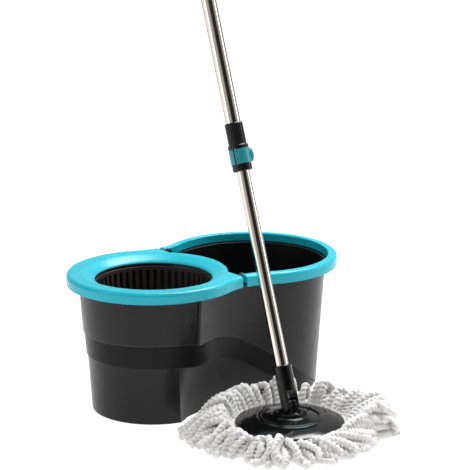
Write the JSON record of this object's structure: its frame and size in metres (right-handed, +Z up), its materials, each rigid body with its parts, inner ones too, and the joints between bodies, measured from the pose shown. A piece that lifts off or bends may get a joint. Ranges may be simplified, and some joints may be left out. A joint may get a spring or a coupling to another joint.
{
  "type": "spin mop and bucket set",
  "caption": "Hand-press spin mop: microfibre head on a tilting telescopic steel pole, with a twin-bowl bucket, free-spinning basket and folding carry handle.",
  "frame": {"origin": "on the floor under the middle of the bucket's waist", "axes": "+Z up; +X from the basket bowl to the rinsing tub; the mop stands on -Y"},
  "size_m": [0.455, 0.5385, 1.0191],
  "materials": {
    "bucket_plastic": "satin injection-moulded polypropylene, dark grey",
    "rim_plastic": "satin-gloss turquoise plastic",
    "basket_plastic": "gloss black plastic",
    "post_plastic": "matt black plastic",
    "disc_plastic": "high-gloss black plastic",
    "knuckle_plastic": "satin-gloss black plastic",
    "collar_plastic": "satin black plastic with fine ribs",
    "lever_plastic": "satin-gloss turquoise plastic",
    "bearing_plastic": "natural acetal",
    "polished_steel": "polished stainless tube",
    "plain_steel": "zinc-plated steel",
    "dark_steel": "blackened steel",
    "yarn": "white twisted microfibre cords",
    "ring_plastic": "white plastic",
    "grip_rubber": "soft black grip"
  },
  "bodies": {
    "bucket": {"bucket_shell": "bucket_plastic", "basket_ring": "rim_plastic", "bail_pivots": "post_plastic", "spindle_post": "post_plastic", "spindle_pin": "plain_steel", "post_screws": "plain_steel"},
    "bail": {"carry_handle": "rim_plastic"},
    "basket": {"spin_basket": "basket_plastic", "basket_bush": "bearing_plastic", "basket_cap": "basket_plastic"},
    "mop_head": {"mop_yarn": "yarn", "yarn_ring": "ring_plastic"},
    "disc": {"mop_disc": "disc_plastic", "disc_knuckle": "knuckle_plastic", "knuckle_screws": "plain_steel", "hinge_pin": "dark_steel"},
    "lower_pole": {"pole_fork": "knuckle_plastic", "socket_rivet": "dark_steel", "lower_tube": "polished_steel", "clutch_plug": "bearing_plastic"},
    "bush": {"guide_bush": "bearing_plastic", "bush_cap": "bearing_plastic"},
    "nut": {"drive_nut": "bearing_plastic"},
    "upper_pole": {"twisted_rod": "plain_steel", "rod_anchor": "post_plastic", "upper_tube": "polished_steel", "lock_collar": "collar_plastic", "lever_band": "lever_plastic", "lever_pin": "plain_steel", "collar_screw": "plain_steel", "grip": "grip_rubber", "end_cap": "collar_plastic"},
    "lever": {"lock_lever": "lever_plastic"}
  },
  "joints": [
    {"name": "bail_swing", "type": "hinge", "parent": "bucket", "child": "bail", "pos_m": [0.008, 0, 0.205], "axis": [0, -1, 0], "range_deg": [0, 90]},
    {"name": "basket_spin", "type": "hinge", "parent": "bucket", "child": "basket", "pos_m": [-0.088, 0, 0.1], "axis": [0, 0, 1], "continuous": true},
    {"name": "mop_lift", "type": "slide", "parent": "bucket", "child": "mop_head", "axis": [0, -0.5, 0.866], "range_m": [0, 0.4]},
    {"name": "disc_unclip", "type": "slide", "parent": "mop_head", "child": "disc", "axis": [0, 0, 1], "range_m": [0, 0.05]},
    {"name": "handle_tilt", "type": "hinge", "parent": "disc", "child": "lower_pole", "pos_m": [-0.027, -0.25, 0.0545], "axis": [1, 0, 0], "range_deg": [-14, 87]},
    {"name": "pole_spin", "type": "hinge", "parent": "lower_pole", "child": "bush", "pos_m": [-0.027, -0.04906, 0.65159], "axis": [0, 0.319, 0.9478], "continuous": true},
    {"name": "handle_press", "type": "slide", "parent": "bush", "child": "upper_pole", "axis": [0, 0.319, 0.9478], "range_m": [-0.2, 0.2]},
    {"name": "nut_turn", "type": "hinge", "parent": "bush", "child": "nut", "pos_m": [-0.027, -0.04491, 0.66392], "axis": [0, 0.319, 0.9478], "range_deg": [-800, 800]},
    {"name": "lever_release", "type": "hinge", "parent": "upper_pole", "child": "lever", "pos_m": [-0.03938, -0.14075, 0.40338], "axis": [0, -0.319, -0.9478], "range_deg": [0, 105]}
  ],
  "couplings": [
    {"joint": "nut_turn", "follows": "handle_press", "rad_per_m": -69.813}
  ]
}
